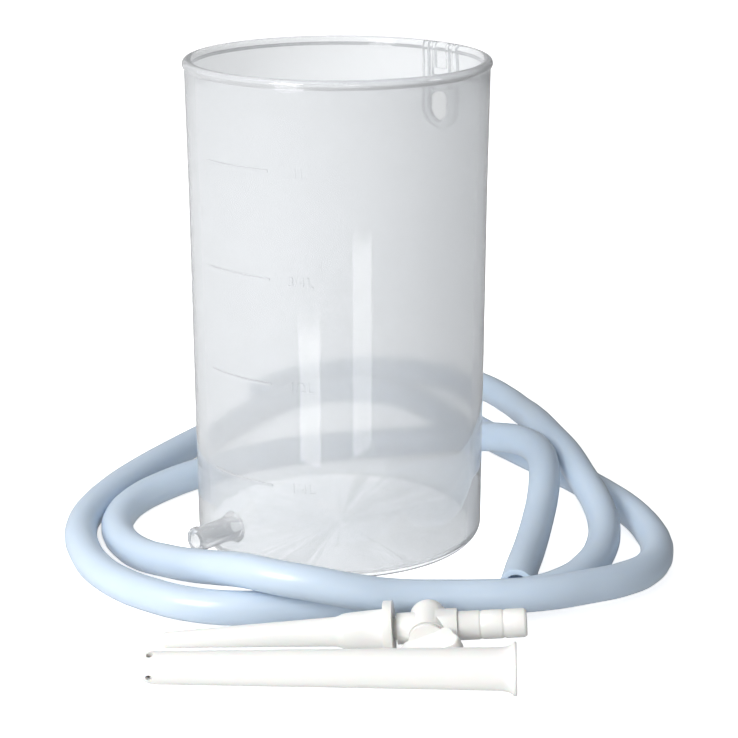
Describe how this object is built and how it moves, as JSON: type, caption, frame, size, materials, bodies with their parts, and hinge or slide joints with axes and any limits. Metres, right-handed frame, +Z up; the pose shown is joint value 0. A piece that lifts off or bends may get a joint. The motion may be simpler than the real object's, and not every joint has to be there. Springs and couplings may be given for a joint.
{
  "type": "gravity irrigator set",
  "caption": "Clear graduated irrigation vessel with outlet spout and hanging eye, a loose hose, and a stopcock carrying a nozzle, with a longer douche tube beside it.",
  "frame": {"origin": "centre of the vessel's underside, on the table", "axes": "+Z up along the vessel's axis; -Y towards the nozzle and tube, the side the graduations face; +X to the right from that side"},
  "size_m": [0.2054, 0.3007, 0.164],
  "materials": {
    "clear_plastic": "clear to slightly milky moulded polypropylene, smooth",
    "hose_plastic": "soft pale blue hose, smooth with a soft shine",
    "white_plastic": "opaque white moulded plastic, smooth"
  },
  "bodies": {
    "vessel": {"graduated_vessel": "clear_plastic", "hose": "hose_plastic"},
    "tap": {"tap_housing": "white_plastic"},
    "key": {"tap_key": "white_plastic"},
    "nozzle": {"enema_nozzle": "white_plastic"},
    "tube": {"douche_tube": "white_plastic"}
  },
  "joints": [
    {"name": "tap_lift", "type": "slide", "parent": "vessel", "child": "tap", "axis": [0, 0, 1], "range_m": [0, 0.15]},
    {"name": "key_turn", "type": "hinge", "parent": "tap", "child": "key", "pos_m": [0.02791, -0.10341, 0.00958], "axis": [-0.0504, -0.977, -0.2071], "range_deg": [-22, 68]},
    {"name": "nozzle_pull", "type": "slide", "parent": "tap", "child": "nozzle", "axis": [-0.9939, 0.0695, -0.0859], "range_m": [0, 0.0105]},
    {"name": "tube_lift", "type": "slide", "parent": "vessel", "child": "tube", "axis": [0, 0, 1], "range_m": [0, 0.15]}
  ]
}
